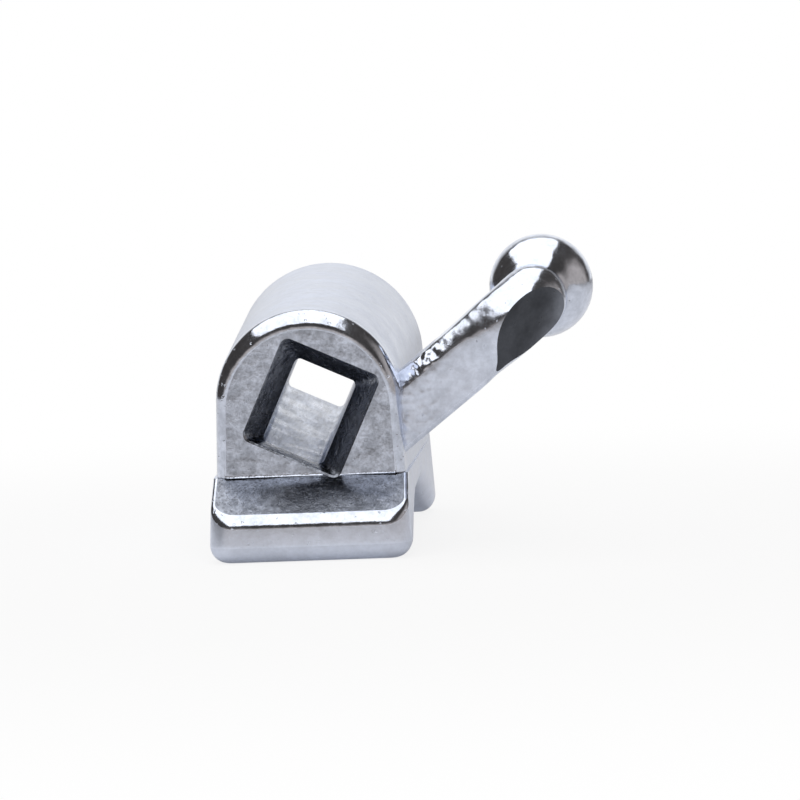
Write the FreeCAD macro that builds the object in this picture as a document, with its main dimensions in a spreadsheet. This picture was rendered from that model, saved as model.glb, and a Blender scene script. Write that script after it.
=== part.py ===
"""Molar buccal tube, cast in one piece.

A base pad, hollowed lengthwise to the curve of a molar, has a sloped mesial ledge and carries an
arched tube. The tube holds a rectangular archwire slot that is turned by the torque angle and opens
in a funnel at its mesial end. A flat-faced hook leaves the tube's gingival side just behind the
mesial face, bends back through a ground facet and ends in a ball.

The body is drawn in the tube's own frame, with the slot along +Y and the origin on the crease where
the mesial face meets the ledge. Its Placement then lays the pad's two lands on Z = 0, because the
tube climbs slightly from the mesial end to the distal end. All lengths are millimetres.
"""

import FreeCAD, Part
import math
import os

import Sketcher
from FreeCAD import Rotation, Vector

NODE = "buccal_tube"
FLAT = 1e-4
RIGHT_ANGLE = 90

# Driving dimensions: alias, value, what it is
DIMENSIONS = (
    ("base_length", 3.66, "base pad along the tube, at its lands"),
    ("base_mesial_width", 1.40, "underside width at the mesial edge"),
    ("base_flare", 0.12, "how much wider the underside is at the distal edge"),
    ("base_thickness", 0.56, "lands to the crease, square to the lands"),
    ("base_draft", 3.0, "lean of the pad's sides, degrees"),
    ("base_corner", 0.17, "plan radius of the pad's corners"),
    ("base_foot_round", 0.13, "round along the underside's edge"),
    ("base_land", 0.27, "each end of the pad to where the underside's hollow starts"),
    ("base_hollow", 0.38, "rise of the hollow over the lands, at the pad's middle"),
    ("base_lip_radius", 0.30, "roll from a land into the hollow"),
    ("ledge_length", 0.414, "mesial edge to the crease, along the lands"),
    ("ledge_drop", 0.27, "fall of the ledge from the crease to the mesial edge"),
    ("ledge_round", 0.07, "round along the ledge's front edge"),
    ("tube_pitch", 3.8, "climb of the slot over the lands, degrees"),
    ("tube_length", 3.10, "mesial face to distal face"),
    ("wall_draft", 2.0, "lean of the tube's side walls, degrees"),
    ("mesial_inset", 0.058, "arch inside the pad's half width, at the mesial face"),
    ("mesial_top", 1.147, "crease to the top of the arch at the mesial face"),
    ("distal_inset", 0.06, "arch inside the pad's half width, at the distal face"),
    ("distal_top", 1.155, "crease level to the top of the arch at the distal face"),
    ("tube_root", 0.25, "how deep the tube's walls run into the pad"),
    ("rim_round", 0.13, "round of the mesial rim"),
    ("distal_round", 0.07, "round of the distal rim"),
    ("slot_width", 0.457, "archwire slot, 0.018 in"),
    ("slot_depth", 0.635, "archwire slot, 0.025 in"),
    ("slot_rise", 0.425, "crease to the slot's centre"),
    ("slot_torque", 25.0, "turn of the slot about its own axis, degrees"),
    ("slot_corner", 0.03, "radius of the slot's inner corners"),
    ("funnel_depth", 0.18, "mesial face to where the slot is at its own size"),
    ("funnel_side_flare", 0.127, "flare of the funnel past each wide wall of the slot"),
    ("funnel_end_flare", 0.06, "flare of the funnel past each narrow wall of the slot"),
    ("funnel_lift", 0.05, "centre of the funnel's mouth above the slot's centre"),
    ("funnel_corner", 0.07, "radius of the funnel's corners at its mouth"),
    ("exit_break", 0.05, "chamfer round the slot's distal exit"),
    ("hook_setback", 0.17, "mesial face to the front face of the hook"),
    ("hook_depth", 0.40, "thickness of the hook along the tube"),
    ("hook_width", 0.455, "width of the hook's stem"),
    ("hook_slope", 38.0, "climb of the hook's stem, degrees"),
    ("hook_reach", 1.543, "middle plane to where the stem's and the neck's axes meet"),
    ("hook_rise", 1.09, "crease level to where the stem's and the neck's axes meet"),
    ("hook_root", 1.30, "length of the stem from there into the tube"),
    ("stem_upper_round", 0.14, "round along the stem's upper edges"),
    ("stem_lower_round", 0.04, "round along the stem's lower edges"),
    ("stem_run_out", 0.42, "length in which the flat section turns almost round"),
    ("bend_radius", 0.25, "middle line of the bend between the stem and the neck"),
    ("bend_round", 0.185, "corner radius of the almost round section"),
    ("neck_radius", 0.195, "neck between the bend and the ball"),
    ("neck_fillet", 0.10, "fillet between the neck and the ball"),
    ("ball_radius", 0.366, "ball of the hook"),
    ("ball_setback", 0.55, "where the axes meet to the ball's centre"),
    ("ball_lean", 12.0, "lean of the neck along the stem from the tube's direction, degrees"),
    ("facet_back", 0.213, "where the axes meet, back to the facet's crease on the front face"),
    ("facet_below", 0.21, "where the axes meet, down to the same point of the crease"),
    ("facet_lean", 20.0, "lean of the facet's crease from the upright, degrees"),
    ("facet_swing", 50.0, "turn of the facet from the hook's side to its front, degrees"),
    ("groove_rim", 0.20, "plain rim round the retention grooves"),
    ("groove_pitch", 0.26, "spacing of the retention grooves"),
    ("groove_width", 0.09, "width of a retention groove"),
    ("groove_depth", 0.07, "depth of a retention groove"),
)

# The pad's middle on the level of its lands, in the tube's frame, from the crease
BASE_Y = (
    "(Dims.base_length / 2 - Dims.ledge_length) * cos(Dims.tube_pitch)"
    " - Dims.base_thickness * sin(Dims.tube_pitch)"
)
BASE_Z = (
    "-(Dims.base_length / 2 - Dims.ledge_length) * sin(Dims.tube_pitch)"
    " - Dims.base_thickness * cos(Dims.tube_pitch)"
)

# The hollow: its half length, its slope where it meets the rolls, its radius and its centre
HOLLOW_HALF = "(Dims.base_length / 2 - Dims.base_land)"
HOLLOW_SLOPE = f"(2 * atan(Dims.base_hollow / {HOLLOW_HALF}))"
HOLLOW_RADIUS = f"({HOLLOW_HALF} / sin({HOLLOW_SLOPE}) - Dims.base_lip_radius)"
HOLLOW_DROP = f"({HOLLOW_RADIUS} - Dims.base_hollow)"
HOLLOW_Y = f"{BASE_Y} - {HOLLOW_DROP} * sin(Dims.tube_pitch)"
HOLLOW_Z = f"{BASE_Z} - {HOLLOW_DROP} * cos(Dims.tube_pitch)"

# Half widths of the pad, the arches inside them, and the bend's turn and its run on each side
MESIAL_HALF = "(Dims.base_mesial_width / 2)"
DISTAL_HALF = "((Dims.base_mesial_width + Dims.base_flare) / 2)"
MESIAL_RADIUS = f"({MESIAL_HALF} - Dims.mesial_inset)"
DISTAL_RADIUS = f"({DISTAL_HALF} - Dims.distal_inset)"
BEND_TURN = f"({RIGHT_ANGLE} - Dims.ball_lean)"
BEND_RUN = f"(Dims.bend_radius * tan({BEND_TURN} / 2))"


def fill_sheet(doc):
    """The driving dimensions, one row each: name, value, meaning."""
    sheet = doc.addObject("Spreadsheet::Sheet", "Dims")
    for row, (alias, value, meaning) in enumerate(DIMENSIONS, start=1):
        sheet.set(f"A{row}", alias)
        sheet.set(f"B{row}", str(value))
        sheet.set(f"C{row}", meaning)
        sheet.setAlias(f"B{row}", alias)
    doc.recompute()
    return sheet


def origin_plane(body, role):
    return next(feature for feature in body.Origin.OriginFeatures if feature.Role == role)


def new_sketch(body, role, name, shift=(), axis=None, angle=None):
    """A sketch on one of the body's origin planes, moved and turned by expressions."""
    sketch = body.newObject("Sketcher::SketchObject", name)
    sketch.AttachmentSupport = [(origin_plane(body, role), "")]
    sketch.MapMode = "FlatFace"
    if axis:
        sketch.AttachmentOffset = FreeCAD.Placement(Vector(), Rotation(axis, 1))
        sketch.setExpression("AttachmentOffset.Rotation.Angle", angle)
    for direction, expression in zip("xyz", shift):
        if expression:
            sketch.setExpression(f"AttachmentOffset.Base.{direction}", expression)
    return sketch


def bind(sketch, constraint, expression):
    """Add a sized constraint and tie its size to the sheet."""
    index = sketch.addConstraint(constraint)
    sketch.setExpression(f"Constraints[{index}]", expression)


def value_of(thing, expression):
    """What an expression of the sheet's sizes comes to."""
    value = thing.evalExpression(expression)
    return float(getattr(value, "Value", value))


def pin(sketch, line, end, across, up):
    """Hold one end of a line at a place given by two expressions."""
    for kind, expression in (("DistanceX", across), ("DistanceY", up)):
        size = value_of(sketch, expression)
        bind(sketch, Sketcher.Constraint(kind, -1, 1, line, end, size), expression)


def outline(sketch, corners):
    """A closed outline of straight lines, with every corner placed by two expressions."""
    places = [
        Vector(value_of(sketch, across), value_of(sketch, up), 0)
        for across, up in corners
    ]
    count = len(corners)
    for here in range(count):
        sketch.addGeometry(Part.LineSegment(places[here], places[(here + 1) % count]), False)
    for here in range(count):
        sketch.addConstraint(Sketcher.Constraint("Coincident", here, 2, (here + 1) % count, 1))
    for here, (across, up) in enumerate(corners):
        pin(sketch, here, 1, across, up)


def rounded_outline(sketch, corners, radii):
    """A closed outline whose sides meet in tangent arcs, with one radius for each corner."""
    places = [
        Vector(value_of(sketch, across), value_of(sketch, up), 0)
        for across, up in corners
    ]
    sizes = [value_of(sketch, radius) for radius in radii]
    count = len(places)
    arrive, leave = [], []
    for here, place in enumerate(places):
        back = (places[here - 1] - place).normalize()
        ahead = (places[(here + 1) % count] - place).normalize()
        size = sizes[here]
        trim = size / math.tan(back.getAngle(ahead) / 2)
        arrive.append(place + back * trim)
        leave.append(place + ahead * trim)
        middle = place + (back + ahead).normalize() * (math.hypot(trim, size) - size)
        arc = Part.Arc(arrive[here], middle, leave[here])
        sketch.addGeometry(arc, False)
    for here in range(count):
        sketch.addGeometry(Part.LineSegment(leave[here], arrive[(here + 1) % count]), False)
    for here, place in enumerate(places):
        sketch.addGeometry(Part.Point(place), True)
    for here, (across, up) in enumerate(corners):
        side_before = count + (here - 1) % count
        side_after = count + here
        corner = 2 * count + here
        sketch.addConstraint(Sketcher.Constraint("Tangent", side_before, 2, here, 1))
        sketch.addConstraint(Sketcher.Constraint("Tangent", here, 2, side_after, 1))
        sketch.addConstraint(Sketcher.Constraint("PointOnObject", corner, 1, side_before))
        sketch.addConstraint(Sketcher.Constraint("PointOnObject", corner, 1, side_after))
        pin(sketch, corner, 1, across, up)
        bind(sketch, Sketcher.Constraint("Radius", here, sizes[here]), radii[here])


def box_corners(half_across, half_up):
    """The corners of a rectangle about the sketch's origin."""
    return (
        (f"-({half_across})", f"-({half_up})"),
        (half_across, f"-({half_up})"),
        (half_across, half_up),
        (f"-({half_across})", half_up),
    )


def add_feature(body, kind, name, **settings):
    feature = body.newObject(kind, name)
    for key, value in settings.items():
        setattr(feature, key, value)
    return feature


def settle(doc, body, feature):
    """Make a feature the body's last one and recompute, so that the next can read its edges."""
    body.Tip = feature
    doc.recompute()
    return feature


def edge_names(feature, test):
    """The names of the feature's edges that pass a test."""
    return [
        f"Edge{number}"
        for number, edge in enumerate(feature.Shape.Edges, start=1)
        if test(edge)
    ]


def round_edges(doc, body, name, feature, test, radius):
    """Round the edges of a feature that pass a test."""
    rounded = body.newObject("PartDesign::Fillet", name)
    rounded.Base = (feature, edge_names(feature, test))
    rounded.setExpression("Radius", radius)
    return settle(doc, body, rounded)


def base_pad(doc, body):
    """The pad under the tube: a drafted slab, wider at its distal edge."""
    plan = new_sketch(
        body, "XY_Plane", "base_plan", ("", BASE_Y, BASE_Z), Vector(1, 0, 0), "-Dims.tube_pitch"
    )
    rounded_outline(
        plan,
        (
            (f"-{MESIAL_HALF}", "-Dims.base_length / 2"),
            (MESIAL_HALF, "-Dims.base_length / 2"),
            (DISTAL_HALF, "Dims.base_length / 2"),
            (f"-{DISTAL_HALF}", "Dims.base_length / 2"),
        ),
        ["Dims.base_corner"] * 4,
    )
    slab = add_feature(body, "PartDesign::Pad", "base_slab", Profile=plan)
    slab.setExpression("Length", "Dims.base_thickness")
    slab.setExpression("TaperAngle", "-Dims.base_draft")
    return settle(doc, body, slab)


def underside(body):
    """The pad's middle on its lands' level, the direction along it and its upward direction."""
    pitch = math.radians(value_of(body, "Dims.tube_pitch"))
    middle = Vector(0, value_of(body, BASE_Y), value_of(body, BASE_Z))
    along = Vector(0, math.cos(pitch), -math.sin(pitch))
    up = Vector(0, math.sin(pitch), math.cos(pitch))
    return middle, along, up


def lies_on(edge, point, normal):
    """Whether the whole edge lies on the plane through a point."""
    first, last = edge.FirstParameter, edge.LastParameter
    return all(
        abs((edge.valueAt(first + (last - first) * share) - point).dot(normal)) < FLAT
        for share in (0, 0.5, 1)
    )


def hollow(doc, body):
    """The underside's hollow, which rolls out of a land at each end and spans between them."""
    side = new_sketch(
        body, "YZ_Plane", "hollow_side", (BASE_Y, BASE_Z, ""), Vector(0, 0, 1), "-Dims.tube_pitch"
    )
    half = value_of(side, HOLLOW_HALF)
    slope = math.radians(value_of(side, HOLLOW_SLOPE))
    radius = value_of(side, HOLLOW_RADIUS)
    drop = value_of(side, HOLLOW_DROP)
    lip = value_of(side, "Dims.base_lip_radius")
    sill = value_of(side, "Dims.base_land")

    def arc(across, up, size, start, end):
        circle = Part.Circle(Vector(across, up, 0), Vector(0, 0, 1), size)
        return side.addGeometry(Part.ArcOfCircle(circle, start, end), False)

    quarter = math.pi / 2
    mesial_lip = arc(-half, lip, lip, -quarter, slope - quarter)
    distal_lip = arc(half, lip, lip, -slope - quarter, -quarter)
    span = arc(0, -drop, radius, quarter - slope, quarter + slope)
    places = ((-half, 0), (-half, -sill), (half, -sill), (half, 0))
    corners = [Vector(across, up, 0) for across, up in places]
    mesial_wall, floor, distal_wall = [
        side.addGeometry(Part.LineSegment(corner, following), False)
        for corner, following in zip(corners, corners[1:])
    ]
    for kind, first, first_end, second, second_end in (
        ("Tangent", mesial_lip, 2, span, 2),
        ("Tangent", distal_lip, 1, span, 1),
        ("Coincident", mesial_lip, 1, mesial_wall, 1),
        ("Coincident", mesial_wall, 2, floor, 1),
        ("Coincident", floor, 2, distal_wall, 1),
        ("Coincident", distal_wall, 2, distal_lip, 2),
    ):
        side.addConstraint(Sketcher.Constraint(kind, first, first_end, second, second_end))
    side.addConstraint(Sketcher.Constraint("Vertical", mesial_wall))
    side.addConstraint(Sketcher.Constraint("Vertical", distal_wall))
    side.addConstraint(Sketcher.Constraint("Horizontal", floor))
    pin(side, mesial_lip, 1, f"-{HOLLOW_HALF}", "0")
    pin(side, mesial_lip, 3, f"-{HOLLOW_HALF}", "Dims.base_lip_radius")
    pin(side, distal_lip, 2, HOLLOW_HALF, "0")
    pin(side, distal_lip, 3, HOLLOW_HALF, "Dims.base_lip_radius")
    bind(side, Sketcher.Constraint("Radius", span, radius), HOLLOW_RADIUS)
    bind(side, Sketcher.Constraint("DistanceY", floor, 1, -1, 1, sill), "Dims.base_land")
    cut = add_feature(
        body, "PartDesign::Pocket", "base_hollow", Profile=side, Type="ThroughAll", Midplane=True
    )
    return settle(doc, body, cut)


def foot_round(doc, body, feature):
    """The round along the whole edge of the underside, lands and hollow alike."""
    middle, along, up = underside(body)
    half_length = value_of(body, "Dims.base_length / 2")
    crown = value_of(body, "Dims.base_hollow")

    def rims_the_underside(edge):
        first, last = edge.FirstParameter, edge.LastParameter
        points = [
            edge.valueAt(first + (last - first) * share) - middle
            for share in (0, 0.25, 0.5, 0.75, 1)
        ]
        low = all(point.dot(up) < crown + FLAT for point in points)
        across = edge.BoundBox.YLength < FLAT and edge.BoundBox.ZLength < FLAT
        inside = across and abs(points[0].dot(along)) < half_length - FLAT
        return low and not inside

    return round_edges(doc, body, "foot_edge", feature, rims_the_underside, "Dims.base_foot_round")


def ledge(doc, body):
    """The slope that the mesial end of the pad falls away in."""
    wedge = new_sketch(body, "YZ_Plane", "ledge_side", (), Vector(0, 0, 1), "-Dims.tube_pitch")
    outline(
        wedge,
        (
            ("0", "0"),
            ("-2 * Dims.ledge_length", "-2 * Dims.ledge_drop"),
            ("-2 * Dims.ledge_length", "Dims.base_thickness"),
            ("-Dims.base_thickness * tan(Dims.tube_pitch)", "Dims.base_thickness"),
        ),
    )
    slope = add_feature(
        body, "PartDesign::Pocket", "ledge_slope", Profile=wedge, Type="ThroughAll", Midplane=True
    )
    settle(doc, body, slope)
    _, along, up = underside(body)
    fall = along * value_of(body, "Dims.ledge_drop") - up * value_of(body, "Dims.ledge_length")

    def rims_the_ledge(edge):
        in_front = edge.valueAt((edge.FirstParameter + edge.LastParameter) / 2).y < -FLAT
        return in_front and lies_on(edge, Vector(), fall.normalize())

    return round_edges(doc, body, "ledge_rim", slope, rims_the_ledge, "Dims.ledge_round")


def arch_sketch(body, name, distance, radius, top):
    """One end of the tube: a round arch on two drafted walls."""
    sketch = new_sketch(body, "XZ_Plane", name, ("", "", f"-({distance})"))
    r = value_of(sketch, radius)
    centre = value_of(sketch, top) - r
    root = value_of(sketch, "Dims.tube_root")
    low_right, high_right = Vector(r, -root, 0), Vector(r, centre, 0)
    low_left, high_left = Vector(-r, -root, 0), Vector(-r, centre, 0)
    circle = Part.Circle(Vector(0, centre, 0), Vector(0, 0, 1), r)
    right = sketch.addGeometry(Part.LineSegment(low_right, high_right), False)
    crown = sketch.addGeometry(Part.ArcOfCircle(circle, 0, math.pi), False)
    left = sketch.addGeometry(Part.LineSegment(high_left, low_left), False)
    floor = sketch.addGeometry(Part.LineSegment(low_left, low_right), False)
    sketch.addConstraint(Sketcher.Constraint("Tangent", right, 2, crown, 1))
    sketch.addConstraint(Sketcher.Constraint("Tangent", crown, 2, left, 1))
    sketch.addConstraint(Sketcher.Constraint("Coincident", left, 2, floor, 1))
    sketch.addConstraint(Sketcher.Constraint("Coincident", floor, 2, right, 1))
    sketch.addConstraint(Sketcher.Constraint("Symmetric", floor, 1, floor, 2, -2))
    sketch.addConstraint(Sketcher.Constraint("PointOnObject", crown, 3, -2))
    bind(sketch, Sketcher.Constraint("Radius", crown, r), radius)
    bind(sketch, Sketcher.Constraint("DistanceY", -1, 1, crown, 3, centre), f"{top} - {radius}")
    bind(sketch, Sketcher.Constraint("DistanceY", floor, 1, -1, 1, root), "Dims.tube_root")
    lean = math.radians(90 + value_of(sketch, "Dims.wall_draft"))
    bind(sketch, Sketcher.Constraint("Angle", right, lean), "90 deg + Dims.wall_draft * 1 deg")
    return sketch


def tube(doc, body):
    """The arched tube, a little wider at its distal end."""
    mesial = arch_sketch(body, "mesial_arch", "0", MESIAL_RADIUS, "Dims.mesial_top")
    distal = arch_sketch(
        body, "distal_arch", "Dims.tube_length", DISTAL_RADIUS, "Dims.distal_top"
    )
    barrel = add_feature(
        body, "PartDesign::AdditiveLoft", "barrel", Profile=distal, Sections=[mesial], Ruled=True
    )
    return settle(doc, body, barrel)


def face_rims(doc, body, feature):
    """The rounds of the tube's two ends, on the arch and down both walls."""
    length = value_of(body, "Dims.tube_length")
    floor = -value_of(body, "Dims.tube_root")
    for name, distance, size in (
        ("distal_rim", length, "Dims.distal_round"),
        ("mesial_rim", 0, "Dims.rim_round"),
    ):
        def on_the_end(edge, distance=distance):
            above_floor = edge.BoundBox.ZMax > floor + FLAT
            return above_floor and lies_on(edge, Vector(0, distance, 0), Vector(0, 1, 0))

        feature = round_edges(doc, body, name, feature, on_the_end, size)
    return feature


def stem_section(body, name, distance, half_depth, half_width, radii):
    """The hook's outline square to its stem, at a distance from where the hook's axes meet."""
    section = new_sketch(
        body,
        "YZ_Plane",
        name,
        (
            "Dims.hook_setback + Dims.hook_depth / 2",
            f"Dims.hook_rise + ({distance}) * sin(Dims.hook_slope)",
            f"Dims.hook_reach + ({distance}) * cos(Dims.hook_slope)",
        ),
        Vector(1, 0, 0),
        "-Dims.hook_slope",
    )
    rounded_outline(section, box_corners(half_depth, half_width), radii)
    return section


def flat_section(body, name, distance):
    """The stem's flat-faced section: crisp lower edges, wide rounds on the upper ones."""
    lower, upper = "Dims.stem_lower_round", "Dims.stem_upper_round"
    radii = (lower, lower, upper, upper)
    return stem_section(
        body, name, distance, "Dims.hook_depth / 2", "Dims.hook_width / 2", radii
    )


def round_section(body, name):
    """The almost round section that goes round the bend."""
    return stem_section(
        body,
        name,
        f"-{BEND_RUN}",
        "Dims.hook_depth / 2",
        "(Dims.hook_depth + Dims.hook_width) / 4",
        ["Dims.bend_round"] * 4,
    )


def hook_stem(doc, body):
    """The stem: flat-faced out of the tube's side, then running out to an almost round section."""
    run_out_start = f"-{BEND_RUN} - Dims.stem_run_out"
    flat = flat_section(body, "stem_root", "-Dims.hook_root")
    stem = add_feature(body, "PartDesign::Pad", "hook_stem", Profile=flat)
    stem.setExpression("Length", f"Dims.hook_root + {run_out_start}")
    settle(doc, body, stem)
    run_out = add_feature(
        body,
        "PartDesign::AdditiveLoft",
        "stem_run_out",
        Profile=flat_section(body, "run_out_start", run_out_start),
        Sections=[round_section(body, "run_out_end")],
        Ruled=True,
    )
    return settle(doc, body, run_out)


def hook_bend(doc, body):
    """The bend, turned about an upright line behind the stem."""
    section = round_section(body, "bend_outline")
    radius = value_of(section, "Dims.bend_radius")
    half = value_of(section, "Dims.hook_width / 2")
    axis = section.addGeometry(
        Part.LineSegment(Vector(radius, -half, 0), Vector(radius, half, 0)), True
    )
    section.addConstraint(Sketcher.Constraint("Vertical", axis))
    pin(section, axis, 1, "Dims.bend_radius", "-Dims.hook_width / 2")
    bind(section, Sketcher.Constraint("DistanceY", axis, 1, axis, 2, 2 * half), "Dims.hook_width")
    bend = add_feature(body, "PartDesign::Revolution", "hook_bend", Profile=section)
    bend.ReferenceAxis = (section, ["Axis0"])
    bend.setExpression("Angle", BEND_TURN)
    return settle(doc, body, bend)


def hook_ball(doc, body):
    """The neck and the ball, turned about the axis that the bend ends on."""
    slope = math.radians(value_of(body, "Dims.hook_slope"))
    side = new_sketch(
        body,
        "XY_Plane",
        "ball_side",
        ("Dims.hook_reach", "Dims.hook_setback + Dims.hook_depth / 2", "Dims.hook_rise"),
        Vector(math.sin(slope), 0, -math.cos(slope)),
        "Dims.ball_lean",
    )
    ball = value_of(side, "Dims.ball_radius")
    neck = value_of(side, "Dims.neck_radius")
    blend = value_of(side, "Dims.neck_fillet")
    setback = value_of(side, "Dims.ball_setback")
    start = value_of(side, f"0.75 * {BEND_RUN}")
    blend_up = setback - math.sqrt((ball + blend) ** 2 - (neck + blend) ** 2)
    places = ((0, setback + ball), (0, start), (neck, start), (neck, blend_up))
    corners = [Vector(across, up, 0) for across, up in places]
    axis, foot, wall = [
        side.addGeometry(Part.LineSegment(corner, following), False)
        for corner, following in zip(corners, corners[1:])
    ]
    centre = Vector(neck + blend, blend_up, 0)
    reach = Vector(0, setback, 0) - centre
    turn = math.pi - abs(reach.getAngle(Vector(-1, 0, 0)))
    small = Part.Circle(centre, Vector(0, 0, 1), blend)
    round_in = side.addGeometry(Part.ArcOfCircle(small, turn, math.pi), False)
    big = Part.Circle(Vector(0, setback, 0), Vector(0, 0, 1), ball)
    round_out = side.addGeometry(Part.ArcOfCircle(big, turn - math.pi, math.pi / 2), False)
    side.addConstraint(Sketcher.Constraint("Coincident", axis, 2, foot, 1))
    side.addConstraint(Sketcher.Constraint("PointOnObject", foot, 1, -2))
    side.addConstraint(Sketcher.Constraint("Vertical", axis))
    side.addConstraint(Sketcher.Constraint("Horizontal", foot))
    side.addConstraint(Sketcher.Constraint("Coincident", foot, 2, wall, 1))
    side.addConstraint(Sketcher.Constraint("Tangent", wall, 2, round_in, 2))
    side.addConstraint(Sketcher.Constraint("Tangent", round_in, 1, round_out, 1))
    side.addConstraint(Sketcher.Constraint("Coincident", round_out, 2, axis, 1))
    side.addConstraint(Sketcher.Constraint("PointOnObject", round_out, 3, axis))
    side.addConstraint(Sketcher.Constraint("Vertical", wall))
    pin(side, foot, 2, "Dims.neck_radius", f"0.75 * {BEND_RUN}")
    bind(side, Sketcher.Constraint("Radius", round_in, blend), "Dims.neck_fillet")
    bind(side, Sketcher.Constraint("Radius", round_out, ball), "Dims.ball_radius")
    bind(
        side,
        Sketcher.Constraint("DistanceY", -1, 1, round_out, 3, setback),
        "Dims.ball_setback",
    )
    head = add_feature(body, "PartDesign::Revolution", "hook_ball", Profile=side, Angle=360)
    head.ReferenceAxis = (side, ["V_Axis"])
    return settle(doc, body, head)


def hook_facet(doc, body):
    """The facet ground across the outer lower side of the bend."""
    side = new_sketch(
        body,
        "XY_Plane",
        "facet_side",
        (
            "Dims.hook_reach - Dims.facet_back",
            "Dims.hook_setback",
            "Dims.hook_rise - Dims.facet_below",
        ),
        Vector(0, 1, 0),
        "Dims.facet_lean",
    )
    before, beyond, clear = "0.4 * Dims.hook_depth", "2 * Dims.hook_depth", "1.5 * Dims.hook_depth"
    swing_sin, swing_cos = "sin(Dims.facet_swing)", "cos(Dims.facet_swing)"
    outline(
        side,
        (
            (f"-{before} * {swing_sin}", f"-{before} * {swing_cos}"),
            (
                f"-{before} * {swing_sin} + {clear} * {swing_cos}",
                f"-{before} * {swing_cos} - {clear} * {swing_sin}",
            ),
            (
                f"{beyond} * {swing_sin} + {clear} * {swing_cos}",
                f"{beyond} * {swing_cos} - {clear} * {swing_sin}",
            ),
            (f"{beyond} * {swing_sin}", f"{beyond} * {swing_cos}"),
        ),
    )
    facet = add_feature(
        body, "PartDesign::Pocket", "ground_facet", Profile=side, Midplane=True
    )
    facet.setExpression("Length", "3 * Dims.hook_width")
    return settle(doc, body, facet)


def hook(doc, body):
    """The hook, shaped by itself and then joined to the tube."""
    arm = doc.addObject("PartDesign::Body", "hook_arm")
    arm.Label = "hook_arm"
    hook_stem(doc, arm)
    hook_bend(doc, arm)
    hook_ball(doc, arm)
    hook_facet(doc, arm)
    joined = body.newObject("PartDesign::Boolean", "hook_join")
    joined.setObjects([arm])
    joined.Type = "Fuse"
    return settle(doc, body, joined)


def slot_section(body, name, distance, flares=("0", "0"), lift="0", corner="Dims.slot_corner"):
    """The slot's outline at a distance from the mesial face, flared by so much on each side."""
    side_flare, end_flare = flares
    sketch = new_sketch(
        body,
        "XZ_Plane",
        name,
        ("", f"Dims.slot_rise + {lift}", f"-({distance})"),
        Vector(0, 0, 1),
        "-Dims.slot_torque",
    )
    corners = box_corners(
        f"Dims.slot_width / 2 + {side_flare}", f"Dims.slot_depth / 2 + {end_flare}"
    )
    rounded_outline(sketch, corners, [corner] * 4)
    return sketch


def archwire_slot(doc, body):
    """The slot along the whole tube, its funnel at the mesial end and its bevelled distal exit."""
    section = slot_section(body, "slot_outline", "0")
    slot = add_feature(
        body, "PartDesign::Pocket", "slot", Profile=section, Type="ThroughAll", Midplane=True
    )
    settle(doc, body, slot)
    funnel_mouth = slot_section(
        body,
        "funnel_mouth",
        "0",
        ("Dims.funnel_side_flare", "Dims.funnel_end_flare"),
        "Dims.funnel_lift",
        "Dims.funnel_corner",
    )
    funnel_throat = slot_section(body, "funnel_throat", "Dims.funnel_depth")
    exit_mouth = slot_section(
        body, "exit_mouth", "Dims.tube_length", ("Dims.exit_break", "Dims.exit_break")
    )
    exit_throat = slot_section(body, "exit_throat", "Dims.tube_length - Dims.exit_break")
    for name, mouth, throat in (
        ("funnel", funnel_mouth, funnel_throat),
        ("slot_exit", exit_mouth, exit_throat),
    ):
        flare = add_feature(
            body, "PartDesign::SubtractiveLoft", name, Profile=mouth, Sections=[throat], Ruled=True
        )
        settle(doc, body, flare)
    return flare


def groove_outline(sketch, middle, half_width):
    """A groove's section astride the hollow's surface, seen from the hollow's centre."""
    near, far = f"{middle} - {half_width}", f"{middle} + {half_width}"
    low = f"{HOLLOW_RADIUS} - Dims.groove_depth"
    high = f"{HOLLOW_RADIUS} + Dims.groove_depth"
    outline(sketch, ((near, low), (far, low), (far, high), (near, high)))


def lengthwise_grooves(doc, body):
    """Grooves that follow the hollow's curve, side by side across the pad."""
    count = (
        "2 * floor((Dims.base_mesial_width / 2 - Dims.groove_rim) / Dims.groove_pitch + 0.5)"
    )
    sketch = new_sketch(
        body,
        "XZ_Plane",
        "lengthwise_side",
        ("", HOLLOW_Z, f"-({HOLLOW_Y})"),
        Vector(1, 0, 0),
        "-Dims.tube_pitch",
    )
    groove_outline(sketch, f"-({count} - 1) / 2 * Dims.groove_pitch", "Dims.groove_width / 2")
    cut = add_feature(
        body, "PartDesign::Groove", "lengthwise_cut", Profile=sketch, Midplane=True
    )
    cut.ReferenceAxis = (sketch, ["H_Axis"])
    cut.setExpression(
        "Angle", f"2 * ({HOLLOW_SLOPE} - Dims.groove_rim / {HOLLOW_RADIUS} * 1 rad)"
    )
    settle(doc, body, cut)
    rows = add_feature(
        body,
        "PartDesign::LinearPattern",
        "lengthwise_rows",
        Originals=[cut],
        Direction=(sketch, ["H_Axis"]),
    )
    rows.setExpression("Length", f"({count} - 1) * Dims.groove_pitch")
    rows.setExpression("Occurrences", count)
    return settle(doc, body, rows)


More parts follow.
